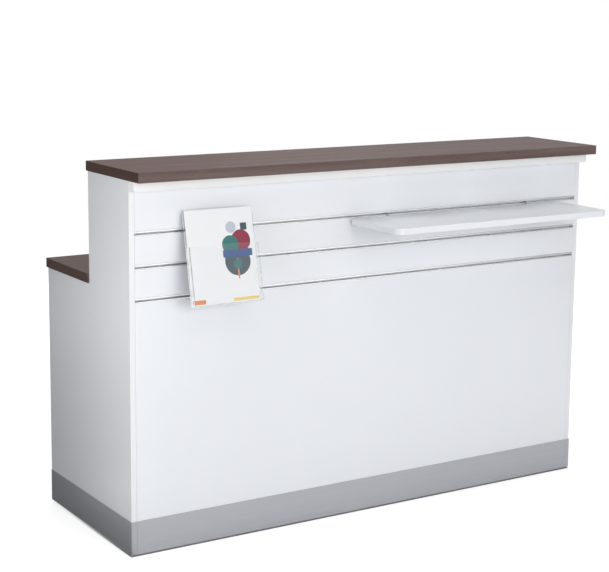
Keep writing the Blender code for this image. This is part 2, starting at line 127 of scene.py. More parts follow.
class Graph:
    """Adds and links the nodes of one material, shader group or world."""

    def __init__(self, tree: Tree) -> None:
        """Start on a node tree."""
        self.tree = tree

    def feed(self, socket: Socket, value: Feed) -> None:
        """Link a socket to another one, or set its own value.

        Args:
            socket: The input that is fed.
            value: An output to link, or a number, vector or colour to set.
        """
        if isinstance(value, Socket):
            self.tree.links.new(value, socket)
        else:
            socket.default_value = (*value, 1.0) if socket.type == "RGBA" else value

    def add(self, kind: str, feeds: Optional[dict] = None, **settings: object) -> Node:
        """Add a node.

        Args:
            kind: The node's type, without its ShaderNode prefix.
            feeds: What goes into its inputs, by name or number.
            settings: The node's own properties.

        Returns:
            The new node.
        """
        node = self.tree.nodes.new("ShaderNode" + kind)
        for name, value in settings.items():
            setattr(node, name, value)
        for name, value in (feeds or {}).items():
            self.feed(node.inputs[name], value)
        return node

    def math(self, operation: str, first: Feed, second: Feed = 0.0) -> Socket:
        """Combine two numbers, and keep the result from 0 to 1."""
        return self.add("Math", {0: first, 1: second}, operation=operation, use_clamp=True).outputs[0]

    def fade(self, mask: Socket, share: Feed) -> Socket:
        """Weaken a mask to a share of itself."""
        return self.math("MULTIPLY", mask, share)

    def vector(self, operation: str, *given: Feed) -> Sockets:
        """Combine one, two or three vectors, and give the node's outputs."""
        return self.add("VectorMath", dict(enumerate(given)), operation=operation).outputs

    def axes(self, at: Socket) -> Sockets:
        """Split coordinates into X, Y and Z."""
        return self.add("SeparateXYZ", {0: at}).outputs

    def spread(self, value: Socket, low: Feed, high: Feed, to_low: float = 0.0,
               to_high: float = 1.0) -> Socket:
        """Map the numbers from low to high onto those from to_low to to_high."""
        return self.add("MapRange", {0: value, 1: low, 2: high, 3: to_low, 4: to_high}).outputs[0]

    def blend(self, share: Feed, first: Feed, second: Feed) -> Socket:
        """Mix two colours, with the second one's share. The node has them at 6 and 7, and the mix at 2."""
        return self.add("Mix", {0: share, 6: first, 7: second}, data_type="RGBA").outputs[2]

    def noise(self, at: Socket, scale: Feed, detail: float, roughness: float = 0.5) -> Socket:
        """Give a cloudy number, with a scale in features a metre."""
        feeds = {"Vector": at, "Scale": scale, "Detail": detail, "Roughness": roughness}
        return self.add("TexNoise", feeds).outputs[0]

    def stretched(self, at: Socket, scale: Point, turn: float = 0.0) -> Socket:
        """Turn coordinates about the vertical, and then scale each axis."""
        turned = self.add("Mapping", {"Vector": at, "Rotation": (0.0, 0.0, turn)}).outputs[0]
        return self.add("Mapping", {"Vector": turned, "Scale": scale}).outputs[0]

    def effect(self, tree: Tree, feeds: dict[str, Feed]) -> Sockets:
        """Place a shared shader group with its own values, and give its outputs."""
        return self.add("Group", feeds, node_tree=tree).outputs

    def relief(self, height: Socket, strength: float, depth: float) -> Socket:
        """Give the normal of a surface with fine relief of a depth in metres."""
        return self.add("Bump", {"Height": height, "Strength": strength, "Distance": depth}).outputs[0]

    def place(self) -> Socket:
        """Give the coordinates of the piece itself, in metres."""
        return self.add("TexCoord").outputs["Object"]


Recipe = Callable[[Graph, Sockets], dict[str, Socket]]


class Effects:
    """Shader groups that the finishes share, each built once."""

    def __init__(self) -> None:
        """Build every group."""
        self.board_life = self._group(self._board_life, {"Peel Scale": 700.0})
        self.brushed_lines = self._group(self._brushed_lines, {"Density": 1.0})
        self.wood_figure = self._group(self._wood_figure, {})
        self.floor_scuffs = self._group(self._floor_scuffs, {"Reach": 0.05})
        self.print_disc = self._group(self._print_disc, {"Centre": ORIGIN, "Radius": 0.01})
        self.print_bar = self._group(self._print_bar, {"Centre": ORIGIN, "Half": ORIGIN})

    @staticmethod
    def _group(recipe: Recipe, inputs: dict[str, Feed]) -> Tree:
        """Build a group.

        Args:
            recipe: The method that adds its nodes and gives its outputs, which are numbers.
            inputs: Its inputs besides the coordinates, with their first values.

        Returns:
            The group.
        """
        tree = bpy.data.node_groups.new(recipe.__name__.strip("_"), "ShaderNodeTree")
        for label, value in {"Vector": ORIGIN, **inputs}.items():
            kind = "NodeSocketVector" if isinstance(value, tuple) else "NodeSocketFloat"
            tree.interface.new_socket(label, in_out="INPUT", socket_type=kind).default_value = value
        graph = Graph(tree)
        made = recipe(graph, tree.nodes.new("NodeGroupInput").outputs)
        for label in made:
            tree.interface.new_socket(label, in_out="OUTPUT", socket_type="NodeSocketFloat")
        end = tree.nodes.new("NodeGroupOutput")
        for label, socket in made.items():
            graph.feed(end.inputs[label], socket)
        return tree

    @staticmethod
    def _board_life(graph: Graph, given: Sockets) -> dict[str, Socket]:
        """Slow clouds of tone, wiping marks and the fine peel of a pressed or moulded skin.

        Args:
            graph: The group's nodes.
            given: Its inputs.

        Returns:
            Its outputs.
        """
        at = given["Vector"]
        cloud = graph.noise(at, scale=2.3, detail=3.0)
        wipe = graph.noise(graph.stretched(at, (2.0, 2.0, 9.0)), scale=3.0, detail=5.0, roughness=0.65)
        peel = graph.noise(at, given["Peel Scale"], detail=2.0)
        return {"Cloud": graph.spread(cloud, *MIDDLE), "Wipe": graph.spread(wipe, 0.35, 0.75), "Peel": peel}

    @staticmethod
    def _brushed_lines(graph: Graph, given: Sockets) -> dict[str, Socket]:
        """Fine level lines of a brushed or drawn metal, which change fastest up the piece.

        Args:
            graph: The group's nodes.
            given: Its inputs.

        Returns:
            Its output.
        """
        at = graph.stretched(given["Vector"], (6.0, 6.0, 900.0))
        fine = graph.noise(at, given["Density"], detail=3.0, roughness=0.7)
        return {"Lines": graph.spread(fine, *MIDDLE)}

    @staticmethod
    def _wood_figure(graph: Graph, given: Sockets) -> dict[str, Socket]:
        """Grain that runs along X: broad streaks, thin fibres and short dark pores.

        Args:
            graph: The group's nodes.
            given: Its inputs.

        Returns:
            Its outputs.
        """
        at = given["Vector"]
        wander = graph.add("TexNoise", {"Vector": graph.stretched(at, (1.4, 5.0, 5.0)), "Scale": 1.0})
        grown = graph.vector("MULTIPLY_ADD", wander.outputs["Color"], (0.0, 0.024, 0.005), at)[0]
        streak = graph.noise(graph.stretched(grown, (0.8, 34.0, 34.0)), scale=1.6, detail=5.0, roughness=0.62)
        fibre = graph.noise(graph.stretched(grown, (5.0, 420.0, 420.0)), scale=1.5, detail=3.0, roughness=0.6)
        pore = graph.noise(graph.stretched(grown, (55.0, 900.0, 900.0)), scale=1.2, detail=1.0)
        return {"Streak": graph.spread(streak, 0.28, 0.72), "Fibre": graph.spread(fibre, *MIDDLE),
                "Pore": graph.spread(pore, 0.62, 0.72)}

    @staticmethod
    def _floor_scuffs(graph: Graph, given: Sockets) -> dict[str, Socket]:
        """Rubbed and dusty patches that fade out above the floor.

        Args:
            graph: The group's nodes.
            given: Its inputs.

        Returns:
            Its output.
        """
        at = given["Vector"]
        low_down = graph.spread(graph.axes(at)["Z"], given["Reach"], 0.0)
        marks = graph.noise(graph.stretched(at, (7.0, 7.0, 30.0)), scale=3.0, detail=6.0, roughness=0.7)
        return {"Mask": graph.fade(low_down, graph.spread(marks, 0.4, 0.75))}

    @staticmethod
    def _print_disc(graph: Graph, given: Sockets) -> dict[str, Socket]:
        """A printed disc on a sheet, whose X runs across and whose Z runs up.

        Args:
            graph: The group's nodes.
            given: Its inputs.

        Returns:
            Its output.
        """
        flat = graph.vector("MULTIPLY", given["Vector"], (1.0, 0.0, 1.0))[0]
        away = graph.vector("DISTANCE", flat, given["Centre"])["Value"]
        return {"Mask": graph.math("LESS_THAN", away, given["Radius"])}

    @staticmethod
    def _print_bar(graph: Graph, given: Sockets) -> dict[str, Socket]:
        """A printed bar on a sheet, from its centre out to its half width and half height.

        Args:
            graph: The group's nodes.
            given: Its inputs.

        Returns:
            Its output.
        """
        off = graph.vector("SUBTRACT", given["Vector"], given["Centre"])[0]
        reach = graph.axes(graph.vector("ABSOLUTE", off)[0])
        half = graph.axes(given["Half"])
        across = graph.math("LESS_THAN", reach["X"], half["X"])
        upward = graph.math("LESS_THAN", reach["Z"], half["Z"])
        return {"Mask": graph.fade(across, upward)}


EFFECTS = Effects()


class Surface(Graph):
    """The nodes of one material, with its main shader and the coordinates that its patterns follow."""

    def __init__(self, name: str) -> None:
        """Start a new material.

        Args:
            name: The material's name.
        """
        self.material = bpy.data.materials.new(name)
        self.material.use_nodes = True
        super().__init__(self.material.node_tree)
        self.shader = self.tree.nodes["Principled BSDF"]
        self.at = self.place()

    def put(self, feeds: dict[str, Feed]) -> None:
        """Feed inputs of the main shader, by their names."""
        for name, value in feeds.items():
            self.feed(self.shader.inputs[name], value)

    def show(self, shader: Node) -> None:
        """Let another shader make the surface."""
        self.feed(self.tree.nodes["Material Output"].inputs["Surface"], shader.outputs[0])

    def life(self, peel_scale: float) -> Sockets:
        """Place clouds, wiping marks, and a peel with so many features a metre."""
        return self.effect(EFFECTS.board_life, {"Vector": self.at, "Peel Scale": peel_scale})

    def scuffs(self, reach: float) -> Socket:
        """Give the rubbed patches, up to a height above the floor."""
        return self.effect(EFFECTS.floor_scuffs, {"Vector": self.at, "Reach": reach})["Mask"]


@dataclass(frozen=True)
class Skin:
    """The fine surface of a finish: the strength and depth of its relief, and its range of roughness."""

    strength: float
    depth: float
    glossier: float
    duller: float


@dataclass(frozen=True)
class Finish:
    """What each finish has: a name, a colour, the plain settings of its shader and a fine surface."""

    name: str
    colour: Colour
    roughness: float
    metallic: float = 0.0
    specular: float = 0.5
    skin: Skin = Skin(0.05, 0.0001, 0.05, 0.05)

    def material(self) -> bpy.types.Material:
        """Give this finish's material, and build it at its first use.

        Returns:
            The material.
        """
        made = bpy.data.materials.get(self.name)
        if made is None:
            surface = Surface(self.name)
            surface.put({"Base Color": self.colour, "Roughness": self.roughness, "Metallic": self.metallic,
                         "Specular IOR Level": self.specular})
            self.paint(surface)
            made = surface.material
        return made

    def paint(self, surface: Surface) -> None:
        """Add the nodes of this finish to its material."""
        raise NotImplementedError

    def gloss(self, surface: Surface, mask: Socket) -> Socket:
        """Give a roughness that follows a mask from the glossiest to the dullest."""
        low, high = self.roughness - self.skin.glossier, self.roughness + self.skin.duller
        return surface.spread(mask, 0.0, 1.0, low, high)

    def lay(self, surface: Surface, tone: Feed, gloss: Socket, height: Socket) -> None:
        """Give the main shader its colour, roughness and relief.

        Args:
            surface: The material's nodes.
            tone: The colour.
            gloss: The roughness.
            height: What the relief follows.
        """
        relief = surface.relief(height, self.skin.strength, self.skin.depth)
        surface.put({"Base Color": tone, "Roughness": gloss, "Normal": relief})


@dataclass(frozen=True)
class BoardFinish(Finish):
    """Satin melamine with slow clouds, wiping marks, a fine peel and, if it has one, a banded front edge."""

    peel_scale: float = 650.0
    skin: Skin = Skin(0.06, 0.0002, 0.04, 0.06)
    shade: Colour = (0.795, 0.816, 0.845)
    cloud_share: float = 0.35
    edging: Colour = (0.835, 0.850, 0.872)
    edging_front: Optional[float] = None
    edging_depth: float = 0.0010

    def paint(self, surface: Surface) -> None:
        """Colour the board and its edging, and vary its satin.

        Args:
            surface: The material's nodes.
        """
        life = surface.life(self.peel_scale)
        tone = surface.blend(surface.fade(life["Cloud"], self.cloud_share), self.colour, self.shade)
        if self.edging_front is not None:
            inside = self.edging_front + self.edging_depth
            middle = self.edging_front + self.edging_depth / 2
            band = surface.spread(surface.axes(surface.at)["Y"], middle, inside, 1.0, 0.0)
            tone = surface.blend(band, tone, self.edging)
        self.lay(surface, tone, self.gloss(surface, life["Wipe"]), life["Peel"])


@dataclass(frozen=True)
class WalnutFinish(Finish):
    """Dark walnut-look laminate with its grain along one direction."""

    skin: Skin = Skin(0.12, 0.00015, 0.05, 0.06)
    dark: Colour = (0.100, 0.060, 0.054)
    light: Colour = (0.250, 0.196, 0.186)
    pore: Colour = (0.028, 0.017, 0.014)
    plain_share: float = 0.45
    fibre_share: float = 0.35
    pore_share: float = 0.40
    grain: Grain = Grain.ALONG_LENGTH

    def paint(self, surface: Surface) -> None:
        """Lay streaks, fibres and pores along the grain.

        Args:
            surface: The material's nodes.
        """
        along = surface.stretched(surface.at, (1.0, 1.0, 1.0), self.grain.value)
        wood = surface.effect(EFFECTS.wood_figure, {"Vector": along})
        streaked = surface.blend(wood["Streak"], self.dark, self.light)
        calmed = surface.blend(self.plain_share, streaked, self.colour)
        fibred = surface.blend(surface.fade(wood["Fibre"], self.fibre_share), calmed, self.dark)
        pores = surface.fade(wood["Pore"], self.pore_share)
        tone = surface.blend(pores, fibred, self.pore)
        height = surface.math("SUBTRACT", wood["Fibre"], pores)
        self.lay(surface, tone, self.gloss(surface, wood["Fibre"]), height)


@dataclass(frozen=True)
class MetalFinish(Finish):
    """Drawn or brushed metal with level lines, and rubbed patches near the floor if it reaches there."""

    skin: Skin = Skin(0.05, 0.0001, 0.05, 0.07)
    line: Colour = (0.62, 0.63, 0.645)
    line_share: float = 0.45
    density: float = 1.0
    scuffed: Colour = (0.30, 0.30, 0.31)
    scuff_reach: float = 0.0
    scuff_share: float = 0.30
    scuff_dulling: float = 0.12

    def paint(self, surface: Surface) -> None:
        """Draw the lines, and the scuffs over them.

        Args:
            surface: The material's nodes.
        """
        feeds = {"Vector": surface.at, "Density": self.density}
        lines = surface.effect(EFFECTS.brushed_lines, feeds)["Lines"]
        tone = surface.blend(surface.fade(lines, self.line_share), self.colour, self.line)
        gloss = self.gloss(surface, lines)
        if self.scuff_reach:
            scuffs = surface.scuffs(self.scuff_reach)
            tone = surface.blend(surface.fade(scuffs, self.scuff_share), tone, self.scuffed)
            gloss = surface.math("ADD", gloss, surface.fade(scuffs, self.scuff_dulling))
        self.lay(surface, tone, gloss, lines)


@dataclass(frozen=True)
class ZincFinish(Finish):
    """Zinc plated steel: crystals of slightly different grey, dulled in clouds."""

    peel_scale: float = 900.0
    skin: Skin = Skin(0.05, 0.0001, 0.06, 0.10)
    crystal: Colour = (0.44, 0.45, 0.47)
    crystal_scale: float = 260.0
    crystal_share: float = 0.8

    def paint(self, surface: Surface) -> None:
        """Scatter the crystals and dull them.

        Args:
            surface: The material's nodes.
        """
        cells = surface.add("TexVoronoi", {"Vector": surface.at, "Scale": self.crystal_scale})
        chance = surface.add("SeparateColor", {0: cells.outputs["Color"]}).outputs[0]
        tone = surface.blend(surface.fade(chance, self.crystal_share), self.colour, self.crystal)
        life = surface.life(self.peel_scale)
        self.lay(surface, tone, self.gloss(surface, life["Wipe"]), life["Peel"])


@dataclass(frozen=True)
class PlasticFinish(Finish):
    """Moulded plastic with a fine spark-eroded grain, dusty near the floor if it reaches there."""

    peel_scale: float = 2200.0
    skin: Skin = Skin(0.25, 0.0001, 0.05, 0.08)
    shade: Colour = (0.75, 0.75, 0.73)
    cloud_share: float = 0.40
    dust: Colour = (0.20, 0.19, 0.18)
    dust_reach: float = 0.0
    dust_share: float = 0.45

    def paint(self, surface: Surface) -> None:
        """Vary the tone, dust it, and grain it.

        Args:
            surface: The material's nodes.
        """
        life = surface.life(self.peel_scale)
        tone = surface.blend(surface.fade(life["Cloud"], self.cloud_share), self.colour, self.shade)
        if self.dust_reach:
            dusty = surface.fade(surface.scuffs(self.dust_reach), self.dust_share)
            tone = surface.blend(dusty, tone, self.dust)
        self.lay(surface, tone, self.gloss(surface, life["Wipe"]), life["Peel"])


@dataclass(frozen=True)
class LensFinish(Finish):
    """Frosted diffuser with a soft light behind it."""

    peel_scale: float = 1600.0
    skin: Skin = Skin(0.3, 0.0001, 0.0, 0.2)
    glow: Colour = (0.94, 0.99, 1.0)
    rim: Colour = (0.72, 0.80, 0.84)
    strength: float = 1.6

    def paint(self, surface: Surface) -> None:
        """Frost the surface and let it glow.

        Args:
            surface: The material's nodes.
        """
        peel = surface.life(self.peel_scale)["Peel"]
        glow = surface.blend(peel, self.glow, self.rim)
        surface.put({"Emission Color": glow, "Emission Strength": self.strength})
        self.lay(surface, self.colour, self.gloss(surface, surface.spread(peel, *MIDDLE)), peel)


@dataclass(frozen=True)
class AcrylicFinish(Finish):
    """Clear polished acrylic with faint wiping scratches and no relief, which lets the lamps through."""

    peel_scale: float = 300.0
    skin: Skin = Skin(0.0, 0.0, 0.0, 0.05)
    index: float = 1.49
    clarity: float = 1.0
    shadow: Colour = (0.98, 0.985, 0.985)

    def paint(self, surface: Surface) -> None:
        """Make the sheet clear, scratch it a little, and keep its shadow light.

        Args:
            surface: The material's nodes.
        """
        scratched = self.gloss(surface, surface.life(self.peel_scale)["Wipe"])
        surface.put({"Transmission Weight": self.clarity, "IOR": self.index, "Roughness": scratched})
        through = surface.add("BsdfTransparent", {0: self.shadow})
        lamps = surface.add("LightPath").outputs["Is Shadow Ray"]
        mix = surface.add("MixShader", {0: lamps, 1: surface.shader.outputs[0], 2: through.outputs[0]})
        surface.show(mix)


@dataclass(frozen=True)
class Disc:
    """A printed disc, with its centre across and up the sheet."""

    across: float
    up: float
    radius: float
    ink: Colour

    def mask(self, surface: Surface) -> Socket:
        """Give where the disc is printed."""
        feeds = {"Vector": surface.at, "Centre": (self.across, 0.0, self.up), "Radius": self.radius}
        return surface.effect(EFFECTS.print_disc, feeds)["Mask"]


@dataclass(frozen=True)
class Bar:
    """A printed bar, with its centre and its half sizes across and up the sheet."""

    across: float
    up: float
    half_across: float
    half_up: float
    ink: Colour

    def mask(self, surface: Surface) -> Socket:
        """Give where the bar is printed."""
        feeds = {"Vector": surface.at, "Centre": (self.across, 0.0, self.up),
                 "Half": (self.half_across, 0.0, self.half_up)}
        return surface.effect(EFFECTS.print_bar, feeds)["Mask"]


@dataclass(frozen=True)
class PaperFinish(Finish):
    """Coated paper with a faint fibre mottle or the lines of stacked pages, and any prints on it."""

    peel_scale: float = 1200.0
    skin: Skin = Skin(0.08, 0.0001, 0.05, 0.05)
    mottle: Colour = (0.85, 0.855, 0.87)
    mottle_scale: float = 1500.0
    page_lines: bool = False
    page_stretch: Point = (3.0, 3500.0, 3.0)
    prints: tuple[Union[Disc, Bar], ...] = ()

    def paint(self, surface: Surface) -> None:
        """Mottle the sheet or rule its edges, and then print on it.

        Args:
            surface: The material's nodes.
        """
        if self.page_lines:
            share = surface.noise(surface.stretched(surface.at, self.page_stretch), scale=1.0, detail=1.0)
        else:
            share = surface.life(self.mottle_scale)["Peel"]
        tone = surface.blend(share, self.colour, self.mottle)
        for printed in self.prints:
            tone = surface.blend(printed.mask(surface), tone, printed.ink)
        peel = surface.life(self.peel_scale)["Peel"]
        self.lay(surface, tone, self.gloss(surface, surface.spread(peel, *MIDDLE)), peel)


SLATE: Colour = (0.055, 0.085, 0.105)
CRIMSON: Colour = (0.260, 0.030, 0.060)
BLUE: Colour = (0.035, 0.090, 0.260)
TEAL: Colour = (0.040, 0.170, 0.160)
ORANGE: Colour = (0.750, 0.250, 0.080)
YELLOW: Colour = (0.850, 0.620, 0.150)
LILAC: Colour = (0.520, 0.560, 0.620)


@dataclass(frozen=True)
class CoverFinish(PaperFinish):
    """The printed cover of the leaflet: plain discs and bars on white, and a coloured foot."""

    foot: Point = ORIGIN
    slant: float = 0.0
    prints: tuple[Union[Disc, Bar], ...] = (
        Disc(0.046, 0.112, 0.040, SLATE),
        Disc(0.062, 0.168, 0.030, CRIMSON),
        Disc(0.028, 0.158, 0.026, TEAL),
        Bar(0.048, 0.134, 0.046, 0.010, BLUE),
        Disc(0.034, 0.206, 0.016, LILAC),
        Bar(0.046, 0.092, 0.0025, 0.028, ORANGE),
        Disc(0.046, 0.104, 0.014, TEAL),
        Bar(0.074, 0.206, 0.010, 0.010, SLATE),
        Bar(-0.084, 0.0085, 0.019, 0.0060, ORANGE),
        Bar(0.062, 0.0075, 0.040, 0.0040, YELLOW),
    )

    def paint(self, surface: Surface) -> None:
        """Measure from the foot of the leaning sheet, and print on it.

        Args:
            surface: The material's nodes.
        """
        feeds = {"Vector": surface.at, "Location": self.foot, "Rotation": (-self.slant, 0.0, 0.0)}
        surface.at = surface.add("Mapping", feeds, vector_type="TEXTURE").outputs[0]
        super().paint(surface)


WHITE = BoardFinish("satin_white_board", (0.838, 0.860, 0.892), 0.36)
# A whiter copy of the board white for the pelmet: painted light, so that its front looks brighter than the
# boards below it.
PELMET_PAINTED_LIGHT_WHITE = BoardFinish("white_board_painted_light", (0.950, 0.952, 0.956), 0.34, shade=(0.92, 0.925, 0.932))
# A brighter, cooler copy of the board white for the back panel that shows in the slots: painted light lifting
# the shade inside them.
SLOT_PAINTED_LIGHT_WHITE = BoardFinish("slot_white_board_painted_light", (0.925, 0.942, 0.965), 0.36, shade=(0.90, 0.920, 0.95))
WALNUT_FACE = WalnutFinish("walnut_face", (0.170, 0.130, 0.124), 0.54, specular=0.08)
# The ends: the walnut decor with its grain along the depth, made much darker as painted shade on the board
# ends.
WALNUT_SHADED_ENDS = WalnutFinish("walnut_end_edging_painted_shade", (0.056, 0.031, 0.025), 0.52, specular=0.18,
                           dark=(0.032, 0.017, 0.013), light=(0.088, 0.052, 0.042), grain=Grain.ALONG_DEPTH)
ALUMINIUM = MetalFinish("drawn_aluminium", (0.95, 0.965, 0.98), 0.24, 0.5, line=(0.91, 0.925, 0.945))
SILVER = MetalFinish("silver_band_sheet", (0.440, 0.452, 0.480), 0.42, 0.50, line=(0.38, 0.39, 0.415),
                     density=0.5, scuff_reach=0.05)
ZINC = ZincFinish("zinc_plated_steel", (0.58, 0.59, 0.61), 0.36, 1.0)
BLACK = PlasticFinish("black_nylon", (0.022, 0.022, 0.023), 0.5, shade=(0.035, 0.035, 0.036),
                      dust_reach=0.03)
WHITE_PLASTIC = PlasticFinish("white_moulded_plastic", (0.82, 0.82, 0.80), 0.45)
LENS = LensFinish("frosted_lens_glow", (0.92, 0.94, 0.95), 0.4)
ACRYLIC = AcrylicFinish("clear_acrylic_sheet", (0.985, 0.992, 0.995), 0.02)
ACRYLIC_EDGE = AcrylicFinish("cut_acrylic_edge", (0.95, 0.97, 0.975), 0.25, clarity=0.15)
PAPER = PaperFinish("leaflet_paper", (0.885, 0.890, 0.905), 0.42)
PAGES = PaperFinish("leaflet_page_edges", (0.90, 0.90, 0.905), 0.6, mottle=(0.62, 0.62, 0.63),
                    page_lines=True)


def coat(names: Iterable[str], finish: Finish) -> None:
    """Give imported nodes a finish.

    Args:
        names: The nodes.
        finish: What they are made of.
    """
    for name in names:
        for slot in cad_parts[name].material_slots:
            slot.material = finish.material()
        LOG.info("dressed %s in %s", name, finish.name)


def add_object(name: str, data: bpy.types.ID) -> bpy.types.Object:
    """Put something into the scene.

    Args:
        name: Its name.
        data: The mesh, lamp or camera.

    Returns:
        The new object.
    """
    made = bpy.data.objects.new(name, data)
    bpy.context.scene.collection.objects.link(made)
    return made


def add_mesh(name: str, shape: Shape, materials: Iterable[bpy.types.Material]) -> bpy.types.Object:
    """Put a shape into the scene.

    Args:
        name: Its name.
        shape: The mesh, in place; it is used up.
        materials: Its materials, in the order of its faces' numbers.

    Returns:
        The new object.
    """
    mesh = bpy.data.meshes.new(name)
    shape.to_mesh(mesh)
    shape.free()
    for material in materials:
        mesh.materials.append(material)
    return add_object(name, mesh)


def finish_piece(name: str, shape: Shape, finishes: Sequence[Finish], body: str,
                 stands_for: Sequence[str] = ()) -> bpy.types.Object:
    """Turn a shape into a piece of the desk.

    Args:
        name: The piece's name.
        shape: Its mesh, in place; it is used up.
        finishes: Its finishes, in the order of its faces' numbers.
        body: The body that it rides on.
        stands_for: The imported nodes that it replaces.

    Returns:
        The new object.
    """
    piece = add_mesh(name, shape, [finish.material() for finish in finishes])
    piece.data.shade_smooth()
    piece.data.set_sharp_from_angle(angle=CREASE)
    piece.modifiers.new("flat_faces_stay_flat", "WEIGHTED_NORMAL").keep_sharp = True
    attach(piece, body)
    if stands_for:
        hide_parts(*stands_for)
    LOG.info("built %s, %d faces, on %s", name, len(piece.data.polygons), body)
    return piece


def box_shape(low: Vector, high: Vector) -> Shape:
    """Start a straight board.

    Args:
        low: Its lowest corner.
        high: Its highest corner.

    Returns:
        The mesh.
    """
    shape = bmesh.new()
    bmesh.ops.create_cube(shape, size=1.0)
    bmesh.ops.scale(shape, vec=high - low, verts=shape.verts[:])
    bmesh.ops.translate(shape, vec=(low + high) / 2, verts=shape.verts[:])
    return shape


def clean(shape: Shape) -> Shape:
    """Merge a shape's doubles and turn its faces outwards.

    Args:
        shape: The mesh.

    Returns:
        The same mesh.
    """
    bmesh.ops.remove_doubles(shape, verts=shape.verts[:], dist=SAME_POINT)
    bmesh.ops.recalc_face_normals(shape, faces=shape.faces[:])
    return shape


def corners_in(result: dict, key: str = "geom") -> list[Corner]:
    """Give the vertices among what an operator made."""
    return [item for item in result[key] if isinstance(item, Corner)]


def square_edges(shape: Shape) -> list[Edge]:
    """Give the edges where two faces meet at a clear angle."""
    folds = (edge for edge in shape.edges if len(edge.link_faces) == 2)
    return [edge for edge in folds if edge.calc_face_angle(0.0) > SQUARE_EDGE]


def edges_at(shape: Shape, axis: Axis, level: float, along: Axis) -> list[Edge]:
    """Give the edges that lie at one level and run along another axis.

    Args:
        shape: The mesh.
        axis: The axis that the level is measured on.
        level: Where both ends of an edge lie on it.
        along: The axis that the edges run along.

    Returns:
        The edges.
    """
    level_edges = (edge for edge in shape.edges
                   if all(abs(corner.co[axis] - level) < SAME_POINT for corner in edge.verts))
    return [edge for edge in level_edges
            if abs(edge.verts[0].co[along] - edge.verts[1].co[along]) > SAME_POINT]


def round_edges(shape: Shape, edges: Sequence[Edge], radius: float, steps: int) -> None:
    """Round some edges of a shape.

    Args:
        shape: The mesh.
        edges: The edges to round.
        radius: How far the rounding reaches.
        steps: How many faces it has.
    """
    bmesh.ops.bevel(shape, geom=edges, offset=radius, offset_type="OFFSET", affect="EDGES",
                    segments=steps, profile=0.5, material=-1, clamp_overlap=True)


def turned_shape(profile: Sequence[tuple[float, float]], place: Vector, steps: int) -> Shape:
    """Turn a profile about the vertical through a place.

    Args:
        profile: Points of (radius, height), from the axis to the axis.
        place: Where the axis and the zero height are.
        steps: How many sides the shape has.

    Returns:
        The closed mesh.
    """
    shape = bmesh.new()
    rim = [shape.verts.new((radius, 0.0, height)) for radius, height in profile]
    edges = [shape.edges.new(pair) for pair in zip(rim, rim[1:])]
    bmesh.ops.spin(shape, geom=rim + edges, cent=ORIGIN, axis=(0, 0, 1), angle=2 * pi, steps=steps,
                   use_merge=True)
    clean(shape)
    bmesh.ops.translate(shape, vec=place, verts=shape.verts[:])
    return shape


def join(shape: Shape, other: Shape, place: Matrix) -> None:
    """Add a copy of one shape to another.

    Args:
        shape: The mesh that grows.
        other: The mesh that is copied.
        place: Where the copy goes.
    """
    scratch = bpy.data.meshes.new("scratch")
    other.to_mesh(scratch)
    scratch.transform(place)
    shape.from_mesh(scratch)
    bpy.data.meshes.remove(scratch)


class Assembly:
    """A sub-assembly of the desk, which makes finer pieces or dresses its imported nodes, or both."""

    def build(self) -> None:
        """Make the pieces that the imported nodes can't show."""

    def dress(self) -> None:
        """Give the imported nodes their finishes."""


@dataclass
class Carcass(Assembly):
    """The white boards, with the front boards and slot rails between the side panels."""

    sides: tuple[str, ...] = ("left_side_panel", "right_side_panel")
    boards: tuple[str, ...] = ("lower_front_panel", "slat_board_bottom", "slat_board_middle",
                               "slat_board_top", "worktop_rail", "left_worktop_cleat",
                               "right_worktop_cleat")
    slots: tuple[str, ...] = ("top", "middle", "bottom")

    def dress(self) -> None:
        """Give the boards and rails their finishes."""
        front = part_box(self.sides[0])[0].y
        banded = BoardFinish("banded_white_board", WHITE.colour, WHITE.roughness, edging_front=front)
        coat(self.sides, banded)
        coat(self.boards, WHITE)
        # The back panel, seen through the slots, takes the brighter copy: painted light in the slots.
        coat(("slat_back_panel",), SLOT_PAINTED_LIGHT_WHITE)
        # The pelmet takes the whiter copy of the board white: painted light.
        coat(("counter_pelmet",), PELMET_PAINTED_LIGHT_WHITE)
        for level in self.slots:
            coat((f"{level}_slot_lower_rail", f"{level}_slot_upper_rail"), ALUMINIUM)


@dataclass
class FloorBand(Assembly):
    """The silver sheets round the foot of the desk."""

    sheets: tuple[str, ...] = ("front_kick_plate", "left_kick_plate", "right_kick_plate", "left_kick_edge",
                               "right_kick_edge")

    def dress(self) -> None:
        """Give the sheets their finish."""
        coat(self.sheets, SILVER)


